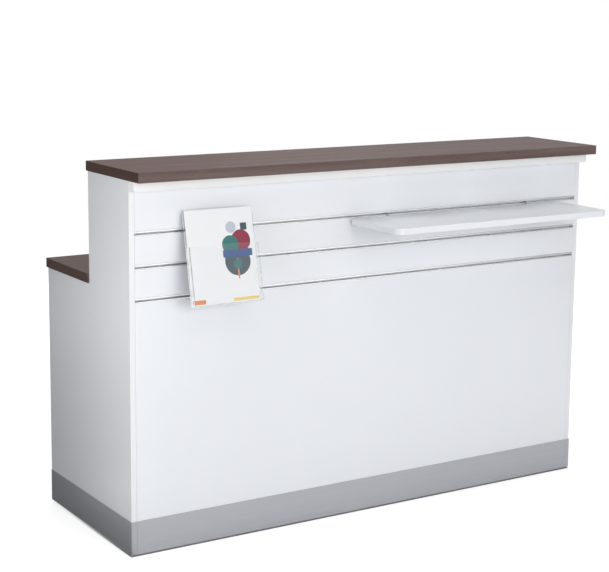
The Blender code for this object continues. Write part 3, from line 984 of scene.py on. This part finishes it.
@dataclass
class Tops(Assembly):
    """The counter and the worktop: laminated boards with rounded edging, whose ends are darkened with painted
    shade.
    """

    edge_radius: float = 0.0015
    edge_steps: int = 3
    step_depth: float = 0.09855
    narrow_half: float = 0.7787

    def build(self) -> None:
        """Make both boards."""
        self._finish("counter_board", box_shape(*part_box("counter_top")), "counter_top")
        self._finish("worktop_board", self._worktop(), "worktop")

    def _worktop(self) -> Shape:
        """Make the worktop as wide as the desk behind, and narrower where it runs between the side panels.

        Returns:
            The mesh with square edges.
        """
        low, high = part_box("worktop")
        shape = box_shape(Vector((low.x, self.step_depth, low.z)), high)
        for side in (-1, 1):
            bmesh.ops.bisect_plane(shape, geom=shape.verts[:] + shape.edges[:] + shape.faces[:],
                                   plane_co=(side * self.narrow_half, 0, 0), plane_no=(1, 0, 0))
        front = Vector((0, low.y, low.z))
        middle = min(shape.faces, key=lambda face: (face.calc_center_median() - front).length)
        moved = corners_in(bmesh.ops.extrude_face_region(shape, geom=[middle]))
        bmesh.ops.translate(shape, vec=(0, low.y - self.step_depth, 0), verts=moved)
        bmesh.ops.delete(shape, geom=[middle], context="FACES")
        clean(shape)
        bmesh.ops.dissolve_limit(shape, angle_limit=FLAT, verts=shape.verts[:], edges=shape.edges[:])
        return shape

    def _finish(self, name: str, shape: Shape, node: str) -> None:
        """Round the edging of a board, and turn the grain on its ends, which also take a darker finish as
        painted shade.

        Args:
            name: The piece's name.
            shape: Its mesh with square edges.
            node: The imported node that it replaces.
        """
        round_edges(shape, square_edges(shape), self.edge_radius, self.edge_steps)
        clean(shape)
        # Faces along X, the ends, take the darker walnut: painted shade on the ends.
        for face in shape.faces:
            across, deep, up = map(abs, face.normal)
            face.material_index = int(across > max(deep, up))
        finish_piece(name, shape, (WALNUT_FACE, WALNUT_SHADED_ENDS), Body.CARCASS.value, (node,))


@dataclass
class Feet(Assembly):
    """Four levelling feet: a pad on a threaded stud, in a block behind the band.

    The pad's side, shoulder, crown and neck are shares of its radius or height, and the middle of its
    rounding is a share of the rounding.
    """

    numbers: range = range(1, 5)
    pad_radius: float = 0.014
    pad_height: float = 0.006
    rounding: float = 0.001
    rounding_middle: float = 0.3
    side_top: float = 0.55
    shoulder_top: float = 0.72
    crown_radius: float = 0.62
    crown_top: float = 0.86
    neck_radius: float = 0.5
    stud_radius: float = 0.004
    stud_top: float = 0.034
    thread_pitch: float = 0.00125
    thread_depth: float = 0.0005
    sides: int = 32

    def build(self) -> None:
        """Make the feet."""
        for number in self.numbers:
            node = f"foot_{number}"
            low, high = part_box(node)
            place = Vector(((low.x + high.x) / 2, (low.y + high.y) / 2, low.z))
            shape = turned_shape(self._profile(), place, self.sides)
            body = f"{Body.FOOT.value}{number}"
            finish_piece(f"levelling_pad_{number}", shape, (BLACK,), body, (node,))

    def _profile(self) -> list[tuple[float, float]]:
        """Draw the pad's rounded outline and the thread's teeth.

        Returns:
            Points of (radius, height), from the axis to the axis.
        """
        wide, tall, soft, stud = self.pad_radius, self.pad_height, self.rounding, self.stud_radius
        eased = self.rounding_middle * soft
        points = [(0, 0), (wide - soft, 0), (wide - eased, eased), (wide, soft),
                  (wide, self.side_top * tall), (wide - soft, self.shoulder_top * tall),
                  (self.crown_radius * wide, self.crown_top * tall), (self.neck_radius * wide, tall),
                  (stud, tall)]
        root = stud - self.thread_depth
        level = tall + self.thread_pitch
        while level < self.stud_top - self.thread_pitch:
            points += [(root, level), (stud, level + self.thread_pitch / 2)]
            level += self.thread_pitch
        return points + [(root, self.stud_top), (0, self.stud_top)]

    def dress(self) -> None:
        """Give the blocks their finish."""
        coat((f"foot_block_{number}" for number in self.numbers), BLACK)


@dataclass
class CornerBrackets(Assembly):
    """Steel angles in the front corners, and the screws that hold them.

    A screw head's flat top, cross and recess are shares of its radius, and its upright side is a share of its
    height. The top is a grid of nine cells, whose middle one and its four neighbours make the cross.
    """

    numbers: range = range(1, 5)
    sheet: float = 0.0025
    screw_in: float = 0.022
    screw_up: float = 0.015
    head_radius: float = 0.0040
    head_height: float = 0.0022
    recess_depth: float = 0.0012
    top_share: float = 0.8
    arm_share: float = 0.576
    cross_share: float = 0.62
    recess_margin: float = 0.12
    side_share: float = 0.45

    def build(self) -> None:
        """Screw each angle to both of its boards."""
        head = self._head()
        for number in self.numbers:
            node = f"corner_bracket_{number}"
            low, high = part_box(node)
            side = -1 if low.x < 0 else 1
            corner = high.x if side > 0 else low.x
            shape = bmesh.new()
            for level in (low.z + self.screw_up, high.z - self.screw_up):
                on_front = Matrix.Translation((corner - side * self.screw_in, low.y + self.sheet, level))
                join(shape, head, on_front @ Matrix.Rotation(-pi / 2, 4, "X"))
                on_side = Matrix.Translation((corner - side * self.sheet, low.y + self.screw_in, level))
                join(shape, head, on_side @ Matrix.Rotation(-side * pi / 2, 4, "Y"))
            finish_piece(f"{node}_screws", shape, (ZINC,), Body.CARCASS.value)
        head.free()

    def _head(self) -> Shape:
        """Make a screw head on the plane z = 0, with a cross recess in its top.

        Returns:
            The closed mesh.
        """
        shape = bmesh.new()
        bmesh.ops.create_grid(shape, x_segments=3, y_segments=3, size=self.head_radius,
                              matrix=Matrix.Translation((0, 0, self.head_height)))
        inner = [corner for corner in shape.verts if not corner.is_boundary]
        bmesh.ops.scale(shape, vec=(self.arm_share, self.arm_share, 1.0), verts=inner)
        for corner in shape.verts:
            if corner.is_boundary:
                corner.co.xy = corner.co.xy.normalized() * self.top_share * self.head_radius
        cross = self.cross_share * self.head_radius
        arms = [face for face in shape.faces if face.calc_center_median().xy.length < cross]
        margin = self.recess_margin * self.head_radius
        bmesh.ops.inset_region(shape, faces=arms, thickness=margin, use_even_offset=True)
        sunk = list({corner for face in arms for corner in face.verts})
        bmesh.ops.translate(shape, vec=(0, 0, -self.recess_depth), verts=sunk)
        for height in (self.side_share * self.head_height, 0.0):
            border = [edge for edge in shape.edges if edge.is_boundary]
            for corner in corners_in(bmesh.ops.extrude_edge_only(shape, edges=border)):
                corner.co = (*(corner.co.xy.normalized() * self.head_radius), height)
        bmesh.ops.holes_fill(shape, edges=[edge for edge in shape.edges if edge.is_boundary])
        return clean(shape)

    def dress(self) -> None:
        """Give the angles their finish."""
        coat((f"corner_bracket_{number}" for number in self.numbers), ZINC)


@dataclass
class PelmetLights(Assembly):
    """Three small lights let into the pelmet, with their lead and driver."""

    numbers: range = range(1, 4)
    power: float = 0.05
    cone: float = radians(100)
    softness: float = 1.0
    forward: float = 0.035
    drop: float = 0.006
    colour: Colour = (0.90, 0.99, 1.0)

    def build(self) -> None:
        """Switch the lights on."""
        for number in self.numbers:
            low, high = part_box(f"led_lens_{number}")
            lamp = bpy.data.lights.new(f"pelmet_light_{number}", "SPOT")
            lamp.energy = self.power
            lamp.spot_size = self.cone
            lamp.spot_blend = self.softness
            lamp.shadow_soft_size = (high.x - low.x) / 2
            lamp.color = self.colour
            holder = add_object(lamp.name, lamp)
            holder.location = ((low.x + high.x) / 2, (low.y + high.y) / 2 - self.forward, low.z - self.drop)
            holder.visible_transmission = False
            LOG.info("lit %s", lamp.name)

    def dress(self) -> None:
        """Give the lights, lead and driver their finishes."""
        coat((f"led_spot_{number}" for number in self.numbers), ALUMINIUM)
        coat((f"led_lens_{number}" for number in self.numbers), LENS)
        coat(("led_lead", "led_driver"), WHITE_PLASTIC)


@dataclass
class DisplayShelf(Assembly):
    """The shelf on two hooked brackets, with rounded front corners."""

    corner_radius: float = 0.025
    corner_steps: int = 14
    edge_radius: float = 0.0010
    edge_steps: int = 3

    def build(self) -> None:
        """Make the shelf board."""
        low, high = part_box("shelf_board")
        shape = box_shape(low, high)
        round_edges(shape, edges_at(shape, Axis.Y, low.y, Axis.Z), self.corner_radius, self.corner_steps)
        round_edges(shape, square_edges(shape), self.edge_radius, self.edge_steps)
        clean(shape)
        finish_piece("shelf_panel", shape, (WHITE,), Body.SHELF.value, ("shelf_board",))

    def dress(self) -> None:
        """Give the brackets their finish."""
        coat(("shelf_bracket_left", "shelf_bracket_right"), ZINC)


@dataclass
class LeafletHolder(Assembly):
    """A clear bent holder that leans against the front, with a folded leaflet in it.

    Its own zero is the foot of the leaflet's front; Z runs up the slant and Y goes through to the back.
    A face of a sheet is a cut edge if it is less than cut_width times as wide as the sheet is thick.
    """

    foot: Point = (-0.534, -0.23175, 0.703)
    slant: float = radians(12.0)
    width: float = 0.217
    sheet: float = 0.003
    back_face: float = 0.0049
    front_face: float = -0.0170
    base_face: float = -0.0033
    bend_radius: float = 0.0037
    bend_steps: int = 6
    back_height: float = 0.250
    pocket_height: float = 0.160
    polish: float = 0.0003
    polish_steps: int = 2
    cut_width: float = 1.1
    wall_gap: float = 0.0002
    wall_steps: int = 3
    leaflet_width: float = 0.210
    leaflet_height: float = 0.260
    leaflet_thickness: float = 0.0016
    cover_sheet: float = 0.0003
    fold_steps: int = 10
    page_inset: float = 0.0009
    page_gap: float = 0.0001
    page_cuts: int = 3

    def build(self) -> None:
        """Make the bent sheet, its two walls and the leaflet."""
        clear = (ACRYLIC, ACRYLIC_EDGE)
        bent = ("holder_back", "holder_front", "holder_base")
        self._seat("holder_shell", self._shell(), clear, Slot.CLEAR_ACRYLIC, bent)
        for word, side in (("left", -1), ("right", 1)):
            node = f"holder_{word}_side"
            self._seat(f"holder_{word}_wall", self._wall(side), clear, Slot.CLEAR_ACRYLIC, (node,))
        cover = CoverFinish("leaflet_cover", PAPER.colour, PAPER.roughness, foot=self.foot, slant=self.slant)
        self._seat("leaflet_cover", self._cover(), (PAPER, cover), Slot.LEAFLET_PRINT, ("leaflet",))
        self._seat("leaflet_pages", self._pages(), (PAGES,), Slot.LEAFLET_PRINT, ())

    def _seat(self, name: str, shape: Shape, finishes: Sequence[Finish], slot: Slot,
              nodes: Sequence[str]) -> None:
        """Lean a shape back and put it in place. A clear one doesn't hold up soft light.

        Args:
            name: The piece's name.
            shape: Its upright mesh.
            finishes: Its finishes, in the order of its faces' numbers.
            slot: The record's material slot.
            nodes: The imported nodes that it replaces.
        """
        lean = Matrix.Translation(self.foot) @ Matrix.Rotation(-self.slant, 4, "X")
        bmesh.ops.transform(shape, matrix=lean, verts=shape.verts[:])
        piece = finish_piece(name, shape, finishes, Body.HOLDER.value, nodes)
        piece.visible_diffuse = slot is not Slot.CLEAR_ACRYLIC

    def _shell(self) -> Shape:
        """Bend one sheet from the back, under the leaflet, to the front of the pocket.

        Returns:
            The upright mesh.
        """
        shape = bmesh.new()
        left, radius = -self.width / 2, self.bend_radius
        level, near = self.base_face + radius, self.front_face + radius
        bend = {"axis": (1, 0, 0), "angle": -pi / 2, "steps": self.bend_steps}
        top = shape.verts.new((left, self.back_face, self.back_height))
        tip = self._run(shape, top, (left, self.back_face, level))
        tip = self._arc(shape, tip, (left, self.back_face - radius, level), **bend)
        tip = self._run(shape, tip, (left, near, self.base_face))
        tip = self._arc(shape, tip, (left, near, level), **bend)
        self._run(shape, tip, (left, self.front_face, self.pocket_height))
        self._sweep(shape, (self.width, 0, 0))
        self._thicken(shape, self.sheet)
        round_edges(shape, square_edges(shape), self.polish, self.polish_steps)
        clean(shape)
        for face in shape.faces:
            narrow = face.calc_area() < self.cut_width * self.sheet * face.calc_perimeter() / 2
            face.material_index = int(narrow and max(abs(face.normal.x), abs(face.normal.z)) > FACING)
        return shape

    @staticmethod
    def _run(shape: Shape, start: Corner, end: Point) -> Corner:
        """Draw a straight line on from a point.

        Args:
            shape: The mesh.
            start: The point.
            end: Where the line ends.

        Returns:
            Its end.
        """
        tip = bmesh.ops.extrude_vert_indiv(shape, verts=[start])["verts"][0]
        tip.co = end
        return tip

    @staticmethod
    def _arc(shape: Shape, start: Corner, centre: Point, axis: Point, angle: float, steps: int) -> Corner:
        """Draw an arc on from a point, and give its end."""
        turned = bmesh.ops.spin(shape, geom=[start], cent=centre, axis=axis, angle=angle, steps=steps)
        return corners_in(turned, "geom_last")[0]

    @staticmethod
    def _sweep(shape: Shape, way: Point) -> None:
        """Sweep a line along a vector, into a surface."""
        moved = corners_in(bmesh.ops.extrude_edge_only(shape, edges=shape.edges[:]))
        bmesh.ops.translate(shape, vec=way, verts=moved)

    @staticmethod
    def _thicken(shape: Shape, sheet: float) -> None:
        """Give a folded surface its thickness, inwards.

        Args:
            shape: The outer surface, whose back leaf faces +Y.
            sheet: The thickness.
        """
        clean(shape)
        back = max(shape.faces, key=lambda face: face.calc_center_median().y)
        if back.normal.y < 0:
            bmesh.ops.reverse_faces(shape, faces=shape.faces[:])
        bmesh.ops.solidify(shape, geom=shape.faces[:], thickness=sheet)
        clean(shape)

    def _wall(self, side: int) -> Shape:
        """Make one end wall of the pocket, between the back and the front.

        Args:
            side: -1 for the left one and 1 for the right one.

        Returns:
            The upright mesh.
        """
        half, inner = self.width / 2, self.sheet + self.wall_gap
        near, far = sorted((side * (half - self.sheet), side * half))
        low = Vector((near, self.front_face + inner, self.base_face + inner))
        shape = box_shape(low, Vector((far, self.back_face - inner, self.pocket_height)))
        foot_edges = edges_at(shape, Axis.Z, low.z, Axis.X)
        round_edges(shape, foot_edges, self.bend_radius - self.sheet, self.wall_steps)
        round_edges(shape, square_edges(shape), self.polish, self.polish_steps)
        return clean(shape)

    def _cover(self) -> Shape:
        """Fold the cover round its spine on the left, and mark its front for printing.

        Returns:
            The upright mesh.
        """
        shape = bmesh.new()
        right, radius = self.leaflet_width / 2, self.leaflet_thickness / 2
        spine = radius - right
        tip = self._run(shape, shape.verts.new((right, 0, 0)), (spine, 0, 0))
        tip = self._arc(shape, tip, (spine, radius, 0), axis=(0, 0, 1), angle=-pi, steps=self.fold_steps)
        self._run(shape, tip, (right, self.leaflet_thickness, 0))
        self._sweep(shape, (0, 0, self.leaflet_height))
        self._thicken(shape, self.cover_sheet)
        for face in shape.faces:
            at_front = face.calc_center_median().y < self.cover_sheet / 2
            face.material_index = int(at_front and face.normal.y < -FACING)
        return shape

    def _pages(self) -> Shape:
        """Make the block of inner pages, a little smaller than the cover.

        Returns:
            The upright mesh.
        """
        right = self.leaflet_width / 2 - self.page_inset
        gap = self.cover_sheet + self.page_gap
        low = Vector((-right, gap, self.page_inset))
        high = Vector((right, self.leaflet_thickness - gap, self.leaflet_height - self.page_inset))
        shape = box_shape(low, high)
        short = [edge for edge in shape.edges if edge.calc_length() < self.leaflet_thickness]
        bmesh.ops.subdivide_edges(shape, edges=short, cuts=self.page_cuts)
        return clean(shape)

    def dress(self) -> None:
        """Give the hook and the standoff their finish."""
        coat(("holder_hook", "holder_standoff"), ACRYLIC)


@dataclass(frozen=True)
class Aimed:
    """Something in the studio that faces a point."""

    name: str
    place: Point
    target: Point
    size: tuple[float, float]

    def turn(self, front: str) -> Quaternion:
        """Give the turn with which an axis faces the point."""
        return (Vector(self.target) - Vector(self.place)).to_track_quat(front, "Y")


@dataclass(frozen=True)
class Softbox(Aimed):
    """A large soft lamp."""

    power: float
    in_gloss: bool = False

    def build(self) -> None:
        """Hang the lamp."""
        lamp = bpy.data.lights.new(self.name, "AREA")
        lamp.shape = "RECTANGLE"
        lamp.size, lamp.size_y = self.size
        lamp.energy = self.power
        holder = add_object(self.name, lamp)
        holder.location = self.place
        holder.rotation_mode = "QUATERNION"
        holder.rotation_quaternion = self.turn("-Z")
        holder.visible_camera = False
        holder.visible_transmission = False
        holder.visible_glossy = self.in_gloss


@dataclass(frozen=True)
class Flag(Aimed):
    """A grey card beside the picture, which shows only in gloss."""

    tone: float

    def build(self) -> None:
        """Set the card up."""
        shape = bmesh.new()
        # The operator's size is half a side, so this card starts 1 m square.
        bmesh.ops.create_grid(shape, x_segments=1, y_segments=1, size=0.5)
        bmesh.ops.scale(shape, vec=(*self.size, 1.0), verts=shape.verts[:])
        place = Matrix.Translation(self.place) @ self.turn("Z").to_matrix().to_4x4()
        bmesh.ops.transform(shape, matrix=place, verts=shape.verts[:])
        card = Surface(self.name)
        card.show(card.add("Emission", {1: self.tone}))
        flag = add_mesh(self.name, shape, (card.material,))
        for ray in ("camera", "diffuse", "transmission", "shadow", "volume_scatter"):
            setattr(flag, f"visible_{ray}", False)


@dataclass
class Studio:
    """A white room with soft lamps, a pale floor and a camera at the visitor's left.

    The floor's distances are from its middle. The sizes of the floor under the desk mark a painted shadow:
    there the floor loses its lift, so its darkness there is partly real shade and partly painted shadow.
    """

    ambient_front: float = 0.13
    ambient_back: float = 0.07
    ambient_turn: tuple[float, float] = (-1.0, 0.1)
    ambient_colour: Colour = (0.96, 0.98, 1.0)
    floor_reach: float = 40.0
    floor_colour: Colour = (0.40, 0.40, 0.405)
    floor_roughness: float = 0.9
    floor_lift: float = 0.79
    floor_near: float = 1.6
    floor_white: float = 2.8
    floor_far: float = 6.0
    painted_shadow_half_width: float = 0.796
    painted_shadow_front: float = -0.163
    painted_shadow_edge: float = 0.004
    painted_shadow_fade: float = 0.50
    eye: Point = (-2.558, -3.83075, 1.554)
    yaw: float = radians(-32.27)
    pitch: float = radians(-9.64)
    roll: float = radians(-0.58)
    focus_pixels: float = 1537.0
    picture_pixels: float = 609.0
    sensor: float = 36.0
    shift: float = -0.06
    lamps: tuple[Softbox, ...] = (
        Softbox("left_softbox", (-1.60, -0.46, 0.81), (-0.8, -0.08, 0.63), (0.5, 1.5), 7.4),
        Softbox("front_softbox", (-0.5, -3.3, 1.5), (0.0, -0.16, 0.6), (1.8, 1.8), 22.0),
        Softbox("right_softbox", (0.8, -3.4, 1.20), (0.0, -0.16, 0.6), (2.4, 2.0), 46.0),
        Softbox("high_softbox", (-0.5, -1.8, 2.9), (0.0, -0.16, 0.8), (1.6, 1.0), 10.0),
        Softbox("floor_bounce", (0.0, -2.3, 0.01), (0.0, -2.3, 1.0), (5.0, 4.1), 20.0),
        Softbox("top_softbox", (-0.45, 0.0, 3.25), (0.0, -0.2, 0.8), (1.6, 1.2), 23.0, in_gloss=True),
        Softbox("rear_softbox", (1.2, 3.6, 1.6), (0.2, 0.2, 0.6), (2.4, 1.8), 105.0),
        Softbox("far_softbox", (3.4, 0.8, 1.4), (0.8, 0.1, 0.5), (1.6, 1.6), 27.0),
    )
    flags: tuple[Flag, ...] = (
        Flag("right_flag", (2.40, -1.40, 1.0), (0.4, -0.16, 0.9), (1.9, 2.0), 0.12),
        Flag("left_flag", (-1.28, 1.5, 0.004), (-1.28, 1.5, 1.0), (0.95, 2.0), 0.10),
        Flag("left_band_flag", (-0.885, 0.55, 0.005), (-0.885, 0.55, 1.0), (0.20, 2.2), 0.10),
        Flag("back_flag", (-2.40, 3.60, 0.9), (-0.8, 0.0, 0.8), (2.6, 1.8), 0.10),
        Flag("rear_flag", (0.80, 4.40, 1.6), (-0.6, 0.2, 0.9), (2.2, 2.8), 0.15),
        Flag("pocket_flag", (0.70, -2.42, 1.27), (-0.53, -0.24, 0.8), (0.9, 0.7), 0.40),
    )

    def build(self) -> None:
        """Light the room, lay the floor and set the camera."""
        bpy.context.scene.view_settings.view_transform = "Standard"
        self._world()
        self._floor()
        for thing in self.lamps + self.flags:
            thing.build()
        self._camera()
        LOG.info("set up the studio with %d soft lamps", len(self.lamps))

    @staticmethod
    def _seen(graph: Graph) -> Socket:
        """Tell rays that show the background, straight from the camera, in gloss or through glass.

        Args:
            graph: The nodes of the world or of the floor.

        Returns:
            1 for such a ray and 0 for others.
        """
        path = graph.add("LightPath").outputs
        gloss = graph.math("MAXIMUM", path["Is Glossy Ray"], path["Is Transmission Ray"])
        shown = graph.math("MAXIMUM", path["Is Camera Ray"], gloss)
        return graph.math("SUBTRACT", shown, path["Diffuse Depth"])

    def _world(self) -> None:
        """Make the world white to the eye, with a soft light from the visitor's side."""
        world = bpy.data.worlds.new("white_room")
        world.use_nodes = True
        graph = Graph(world.node_tree)
        graph.tree.nodes.clear()
        white = graph.add("Background", {0: (1.0, 1.0, 1.0)})
        away = graph.axes(graph.add("TexCoord").outputs["Generated"])["Y"]
        strength = graph.spread(away, *self.ambient_turn, self.ambient_front, self.ambient_back)
        soft = graph.add("Background", {0: self.ambient_colour, 1: strength})
        mix = graph.add("MixShader", {0: self._seen(graph), 1: soft.outputs[0], 2: white.outputs[0]})
        graph.add("OutputWorld", {"Surface": mix.outputs[0]})
        bpy.context.scene.world = world

    def _floor(self) -> None:
        """Lay a pale floor that keeps the desk's shadow, and a painted shadow under the desk where its lift
        is taken away.
        """
        shape = bmesh.new()
        bmesh.ops.create_grid(shape, x_segments=1, y_segments=1, size=self.floor_reach)
        pale = Surface("pale_floor")
        away = pale.vector("LENGTH", pale.at)["Value"]
        far = pale.spread(away, self.floor_near, self.floor_far)
        pale.put({"Base Color": pale.blend(far, self.floor_colour, (0.0, 0.0, 0.0)),
                  "Roughness": self.floor_roughness, "Specular IOR Level": 0.0})
        whitened = pale.spread(away, self.floor_near, self.floor_white, self.floor_lift, 1.0)
        # No lift under the desk: painted shadow there, on top of the real shade.
        lift = pale.fade(pale.fade(self._seen(pale), whitened), self._floor_outside_painted_shadow(pale))
        glow = pale.add("Emission", {1: lift})
        pale.show(pale.add("AddShader", {0: pale.shader.outputs[0], 1: glow.outputs[0]}))
        add_mesh("floor", shape, (pale.material,))

    def _floor_outside_painted_shadow(self, floor: Surface) -> Socket:
        """Tell the open floor from that under the desk, where the lift is taken away as a painted shadow,
        with a soft edge at the staff side.

        Args:
            floor: The floor's nodes.

        Returns:
            1 where it is open and 0 under the desk.
        """
        half, rear = self.painted_shadow_half_width, CAD_BOX[1].y
        at = floor.axes(floor.at)
        sides = floor.spread(floor.math("ABSOLUTE", at["X"]), half, half + self.painted_shadow_edge)
        front = floor.spread(at["Y"], self.painted_shadow_front - self.painted_shadow_edge, self.painted_shadow_front, 1.0, 0.0)
        back = floor.spread(at["Y"], rear - self.painted_shadow_fade, rear)
        return floor.math("MAXIMUM", sides, floor.math("MAXIMUM", front, back))

    def _camera(self) -> None:
        """Look at the desk from the visitor's left, a little above the counter."""
        data = bpy.data.cameras.new("camera")
        data.lens = self.focus_pixels * self.sensor / self.picture_pixels
        data.shift_y = self.shift
        camera = add_object("camera", data)
        turn = Matrix.Rotation(self.yaw, 4, "Z") @ Matrix.Rotation(self.pitch, 4, "X")
        turn = turn @ Matrix.Rotation(self.roll, 4, "Y") @ Matrix.Rotation(pi / 2, 4, "X")
        camera.matrix_world = Matrix.Translation(self.eye) @ turn
        bpy.context.scene.camera = camera


def main() -> None:
    """Set the studio, then build and dress each sub-assembly."""
    logging.basicConfig(level=logging.INFO, format="%(message)s")
    Studio().build()
    for assembly in (Carcass(), FloorBand(), Tops(), Feet(), CornerBrackets(), PelmetLights(),
                     DisplayShelf(), LeafletHolder()):
        assembly.build()
        assembly.dress()


if __name__ == "__main__":
    main()
